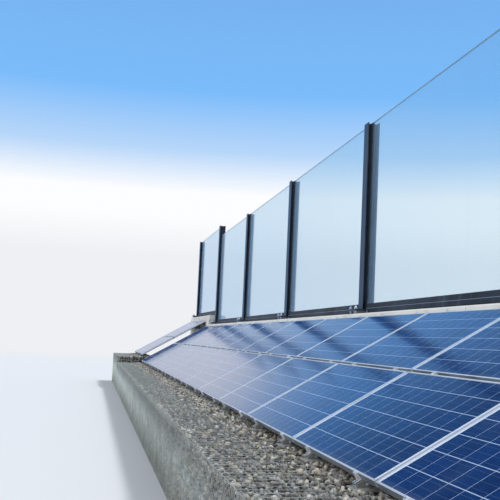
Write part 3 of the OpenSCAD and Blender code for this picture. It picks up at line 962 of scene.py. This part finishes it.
def set_camera(scene):
    """Camera by the road, looking along the barrier from its near end."""
    camera = link("camera", bpy.data.cameras.new("camera"))
    camera.data.lens = CAMERA_LENS
    camera.data.sensor_width = CAMERA_SENSOR
    camera.data.shift_y = CAMERA_SHIFT
    camera.data.clip_end = CAMERA_REACH
    level = Matrix.Rotation(CAMERA_YAW, 4, "Z") @ Matrix.Rotation(math.pi / 2 + CAMERA_PITCH, 4, "X")
    turn = level @ Matrix.Rotation(CAMERA_ROLL, 4, "Z")
    camera.matrix_world = Matrix.Translation(CAMERA_PLACE) @ turn
    scene.camera = camera


def lay_floor(colours):
    """Round pale floor under the barrier."""
    disc = bmesh.new()
    bmesh.ops.create_circle(disc, cap_ends=True, segments=96, radius=FLOOR_RADIUS)
    mesh = as_mesh(disc, "floor")
    mesh.materials.append(pale_floor(colours.floor, colours.backdrop))
    link("floor", mesh)


def light_studio(scene, colours):
    """Soft key light from beyond the barrier, a weak fill, and a surround that turns blue upwards."""
    for name, strength, degrees, toward in (
        ("key", 1.7, 9.0, (0.10, 0.45, 0.85)),
        ("fill", 0.8, 60.0, (0.45, -0.75, 0.45)),
    ):
        lamp = bpy.data.lights.new(name, "SUN")
        lamp.energy, lamp.angle = strength, math.radians(degrees)
        link(name, lamp).matrix_world = aimed(toward)
    scene.world = bpy.data.worlds.new("surround")
    sky = Nodes(scene.world, "ShaderNodeOutputWorld")
    height = sky.parts(sky.node("ShaderNodeTexCoord").outputs["Generated"])[2]
    backdrop = sky.ramp(
        height, (0.0, colours.backdrop), (0.10, colours.backdrop), (0.15, colours.bright_backdrop),
        (0.18, colours.bright_backdrop), (0.23, colours.middle_backdrop),
        (0.30, colours.upper_backdrop), (0.60, colours.zenith))
    shown = sky.blend(sky.seen_directly(), colours.daylight, backdrop)
    sky.show(sky.node("ShaderNodeBackground", None, {"Color": shown, "Strength": 1.0}).outputs[0])
    scene.view_settings.view_transform = "Standard"


# Settings


class BarrierSizes(bpy.types.PropertyGroup):
    """Sizes of the small parts, in metres"""

    def length(name, description, value):
        return bpy.props.FloatProperty(
            name=name, description=description, default=value, min=0.0, precision=4,
            unit="LENGTH", subtype="DISTANCE")

    stone: length("Stone", "Usual size of a stone in the gabions", 0.054)
    stone_pitch: length("Stone pitch", "Distance between the stones' middles", 0.046)
    stone_play: length("Stone play", "How deep the top stones may lie under the mesh", 0.022)
    front_play: length("Front play", "How deep the stones of the sides may lie under the mesh", 0.010)
    chip_depth: length("Chip depth", "How much deeper the small stones lie than the others", 0.014)
    chip: length("Chip", "Usual size of the small stones between the others", 0.034)
    chip_pitch: length("Chip pitch", "Distance between the small stones' middles", 0.040)
    heap: length("Heap", "How far the stones near the solar panels rise over the mesh", 0.026)
    # The dark heart is painted shade, standing for the shade deep between the stones.
    heart_inset: length("Heart", "How far the dark heart of a gabion stays back from its faces", 0.06)
    wire: length("Wire", "Thickness of the baskets' mesh wires", 0.004)
    edge_wire: length("Edge wire", "Thickness of the wires along the baskets' edges", 0.005)
    mesh_front: length("Mesh front", "Spacing of the upright wires on the baskets' fronts", 0.05)
    mesh_along: length("Mesh along", "Spacing of the wires that cross the baskets", 0.1)
    mesh_across: length("Mesh across", "Spacing of the wires that run along the baskets", 0.1)
    cell: length("Cell", "Side of a solar cell", 0.156)
    cell_gap: length("Cell gap", "Gap between two cells of a string", 0.003)
    string_gap: length("String gap", "Gap between two strings of cells", 0.005)
    ribbon: length("Ribbon", "Width of the ribbons that join the cells", 0.0018)
    anchor_x: length("Anchor spacing along", "Spacing of a post's anchor bolts along the barrier", 0.19)
    anchor_y: length("Anchor spacing across", "Spacing of a post's anchor bolts across the barrier", 0.34)
    base_plate: length("Base plate", "Thickness of the posts' base plates", 0.025)
    bolt_edge: length("Bolt edge", "Distance of a foot plate's bolts from its edges", 0.028)
    cheek_edge: length("Cheek edge", "Distance of a saddle's bolts from its plate and its end", 0.018)
    foot_plate: length("Foot plate", "Thickness of the plates under the sloping rails", 0.006)


class BarrierColours(bpy.types.PropertyGroup):
    """Colours of the barrier's surfaces"""

    def colour(name, description, value):
        return bpy.props.FloatVectorProperty(
            name=name, description=description, default=value, min=0.0, max=1.0, subtype="COLOR", size=3)

    post: colour("Posts", "Coating of the posts", (0.031, 0.034, 0.047))
    coat_sheen: colour("Coating sheen", "Bluish sheen of the coatings at a low angle", (0.12, 0.50, 1.0))
    rail: colour("Base rails", "Coating of the base rails", (0.004, 0.012, 0.022))
    # The ledge colour is a painted sky highlight caught on the rails' ledges, with some dust.
    ledge: colour("Ledge dust and highlight", "Dust and painted sky highlight on the ledges of the base rails", (0.52, 0.64, 0.84))
    dust: colour("Dust", "Dust on upper faces and glass", (0.34, 0.37, 0.40))
    panel_frame: colour("Panel frames", "Anodised frames of the solar panels", (0.88, 0.90, 0.93))
    slope_rail: colour("Sloping rails", "Bare aluminium of the sloping rails", (0.86, 0.86, 0.85))
    concrete: colour("Concrete", "Face of the plinth", (0.88, 0.855, 0.81))
    stain: colour("Stain", "Rain streaks and damp on the plinth", (0.30, 0.285, 0.25))
    cell_dark: colour("Cells, dark", "Darkest flakes of the solar cells", (0.001, 0.007, 0.046))
    cell_light: colour("Cells, light", "Lightest flakes of the solar cells", (0.004, 0.027, 0.135))
    sheen: colour("Sheen", "Bluish sheen of the cells at a low angle", (0.01, 0.28, 1.0))
    cell_gap: colour("Cell gaps", "Sheet that shows between the cells", (0.46, 0.56, 0.74))
    margin: colour("Margins", "Sheet that shows round the cells", (0.74, 0.79, 0.86))
    ribbon: colour("Ribbons", "Ribbons and fingers on the cells", (0.30, 0.38, 0.52))
    pane: colour("Panes", "Clear panes seen through", (0.89, 0.955, 0.975))
    film: colour("Road film", "Haze on the panes", (0.45, 0.68, 0.95))
    pane_edge: colour("Pane edges", "Polished edges of the panes", (0.10, 0.20, 0.27))
    floor: colour("Floor", "Pale floor", (0.74, 0.755, 0.77))
    backdrop: colour("Backdrop", "Backdrop at eye height", (0.86, 0.87, 0.895))
    bright_backdrop: colour("Bright backdrop", "Backdrop a little over eye height", (0.98, 0.985, 1.0))
    middle_backdrop: colour("Middle backdrop", "Backdrop over the barrier", (0.48, 0.68, 0.95))
    upper_backdrop: colour("Upper backdrop", "Backdrop high over the barrier", (0.20, 0.50, 0.96))
    zenith: colour("Overhead", "Surround overhead", (0.16, 0.34, 0.70))
    daylight: colour("Daylight", "Even light of the surround on matt surfaces", (0.52, 0.55, 0.60))


# Operators


class FillGabions(bpy.types.Operator):
    """Fill the gabions with broken stone"""

    bl_idname = "noise_barrier.fill_gabions"
    bl_label = "Fill Gabions"

    def execute(self, context):
        sizes = context.scene.barrier_sizes
        stone = broken_stone()
        for number in range(1, GABIONS + 1):
            fill_gabion(number, sizes, stone)
        return {"FINISHED"}


class WeaveBaskets(bpy.types.Operator):
    """Weave the wire baskets round the stones"""

    bl_idname = "noise_barrier.weave_baskets"
    bl_label = "Weave Baskets"

    def execute(self, context):
        metal = galvanised("mesh wire", (0.63, 0.685, 0.64), metal=0.3, soiled=0.78)
        for number in range(1, GABIONS + 1):
            weave_basket(number, context.scene.barrier_sizes, metal)
        return {"FINISHED"}


class LayPanels(bpy.types.Operator):
    """Lay the solar panels in their frames, on their rails"""

    bl_idname = "noise_barrier.lay_panels"
    bl_label = "Lay Solar Panels"

    def execute(self, context):
        sizes, colours = context.scene.barrier_sizes, context.scene.barrier_colours
        glass, back = solar_glass(sizes, colours), back_sheet()
        for row in ("upper", "lower"):
            lay_laminates(row, glass, back, sizes)
        frames = drawn_aluminium(
            "anodised frame", colours.panel_frame, metal=0.42, roughness=0.34,
            soil=(0.13, 0.15, 0.18), foot=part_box("panel_frames_lower")[0][2])
        # The sloping rails' faces turned along the barrier are darkened by painted shade.
        rails = drawn_aluminium(
            "rail aluminium", colours.slope_rail, metal=0.45, roughness=0.4,
            soil=(0.52, 0.51, 0.49), sides=0.8)
        dress(frames, "panel_frames_upper", "panel_frames_lower")
        dress(rails, "slope_rails")
        dress(galvanised("clamp zinc", (0.90, 0.92, 0.94), metal=0.25), "panel_clamps")
        # The foot plates' faces turned along the barrier are darkened by painted shade.
        dress(galvanised("foot zinc", (0.58, 0.585, 0.54), metal=0.2, sides=0.8), "rail_feet")
        dress(galvanised("bracket zinc", (0.40, 0.40, 0.375), metal=0.2), "wall_brackets")
        return {"FINISHED"}


class FinishConcrete(bpy.types.Operator):
    """Finish the plinth and the mortar beds"""

    bl_idname = "noise_barrier.finish_concrete"
    bl_label = "Finish Concrete"

    def execute(self, context):
        colours = context.scene.barrier_colours
        concrete = cast_concrete("cast concrete", colours.concrete, colours.stain)
        dress(concrete, "plinth_near", "plinth_far")
        dress(bedding_mortar(), "grout_beds")
        return {"FINISHED"}


class CoatSteel(bpy.types.Operator):
    """Coat the posts, the base rails and the glazing angles"""

    bl_idname = "noise_barrier.coat_steel"
    bl_label = "Coat Steelwork"

    def execute(self, context):
        colours = context.scene.barrier_colours
        sheen = colours.coat_sheen
        posts = coated_steel(
            "post coating", colours.post, colours.dust, settled=0.55, sheen=sheen, gleam=0.6)
        # On the base rails the ledge colour on upper faces is a painted sky highlight with some dust.
        rails = coated_steel(
            "rail coating", colours.rail, colours.ledge, settled=0.85, sheen=sheen, gleam=0.03)
        dress(posts, "glazing_angles", *numbered("post", POSTS))
        dress(rails, *numbered("base_rail", BAYS))
        dress(galvanised("cleat zinc", (0.62, 0.64, 0.65)), "rail_cleats")
        return {"FINISHED"}


class GlazeBays(bpy.types.Operator):
    """Glaze the bays between the posts"""

    bl_idname = "noise_barrier.glaze_bays"
    bl_label = "Glaze Bays"

    def execute(self, context):
        dress(clear_pane(context.scene.barrier_colours), *numbered("pane", BAYS))
        dress(black_rubber(), "pane_gaskets")
        return {"FINISHED"}


class DriveBolts(bpy.types.Operator):
    """Set the bolts of the base plates, clamps, feet, brackets and cleats"""

    bl_idname = "noise_barrier.drive_bolts"
    bl_label = "Set Bolts"

    def execute(self, context):
        sizes = context.scene.barrier_sizes
        dice = random.Random(SEED)
        zinc = galvanised("bolt zinc", (0.74, 0.76, 0.78))
        plate, cheek = foot_places(sizes, dice)
        small = hexagon_bolt(across=0.013, head=0.0055, washer=0.018, washer_thick=0.0015)
        tall = hexagon_bolt(across=0.013, head=0.006, washer=0.018, washer_thick=0.0015)
        medium = hexagon_bolt(across=0.019, head=0.0085, washer=0.030, washer_thick=0.0025)
        large = hexagon_bolt(
            across=0.036, head=0.019, washer=0.044, washer_thick=0.004, shank=0.018, tail=0.065)
        sets = {
            "anchor_nuts": (large, anchor_places(sizes, dice)),
            "clamp_bolts": (small, clamp_places(dice)),
            "foot_bolts": (medium, plate),
            "saddle_bolts": (small, cheek),
            "bracket_bolts": (medium, bracket_places(dice)),
            "cleat_bolts": (tall, cleat_places(dice)),
        }
        for name, (bolt, places) in sets.items():
            mesh = spread(name, [(bolt, places, [PLAIN_TINT] * len(places))])
            keep(mesh, [zinc], "galvanised")
        return {"FINISHED"}


class SetStage(bpy.types.Operator):
    """Set the camera, the floor and the light"""

    bl_idname = "noise_barrier.set_stage"
    bl_label = "Set Stage"

    def execute(self, context):
        colours = context.scene.barrier_colours
        set_camera(context.scene)
        lay_floor(colours)
        light_studio(context.scene, colours)
        return {"FINISHED"}


class BarrierPanel(bpy.types.Panel):
    """Lists the steps that finish the barrier"""

    bl_idname = "VIEW3D_PT_noise_barrier"
    bl_label = "Noise Barrier"
    bl_space_type = "VIEW_3D"
    bl_region_type = "UI"
    bl_category = "Barrier"

    def draw(self, context):
        for step in STEPS:
            self.layout.operator(step.bl_idname)
        for group in (context.scene.barrier_sizes, context.scene.barrier_colours):
            box = self.layout.box()
            for key in group.__annotations__:
                box.prop(group, key)


STEPS = (SetStage, FillGabions, WeaveBaskets, LayPanels, FinishConcrete, CoatSteel, GlazeBays, DriveBolts)
CLASSES = (BarrierSizes, BarrierColours, *STEPS, BarrierPanel)


def register():
    for each in CLASSES:
        bpy.utils.register_class(each)
    bpy.types.Scene.barrier_sizes = bpy.props.PointerProperty(type=BarrierSizes)
    bpy.types.Scene.barrier_colours = bpy.props.PointerProperty(type=BarrierColours)


def unregister():
    del bpy.types.Scene.barrier_colours
    del bpy.types.Scene.barrier_sizes
    for each in reversed(CLASSES):
        bpy.utils.unregister_class(each)


def main():
    register()
    for step in STEPS:
        group, name = step.bl_idname.split(".")
        getattr(getattr(bpy.ops, group), name)()


if __name__ == "__main__":
    main()
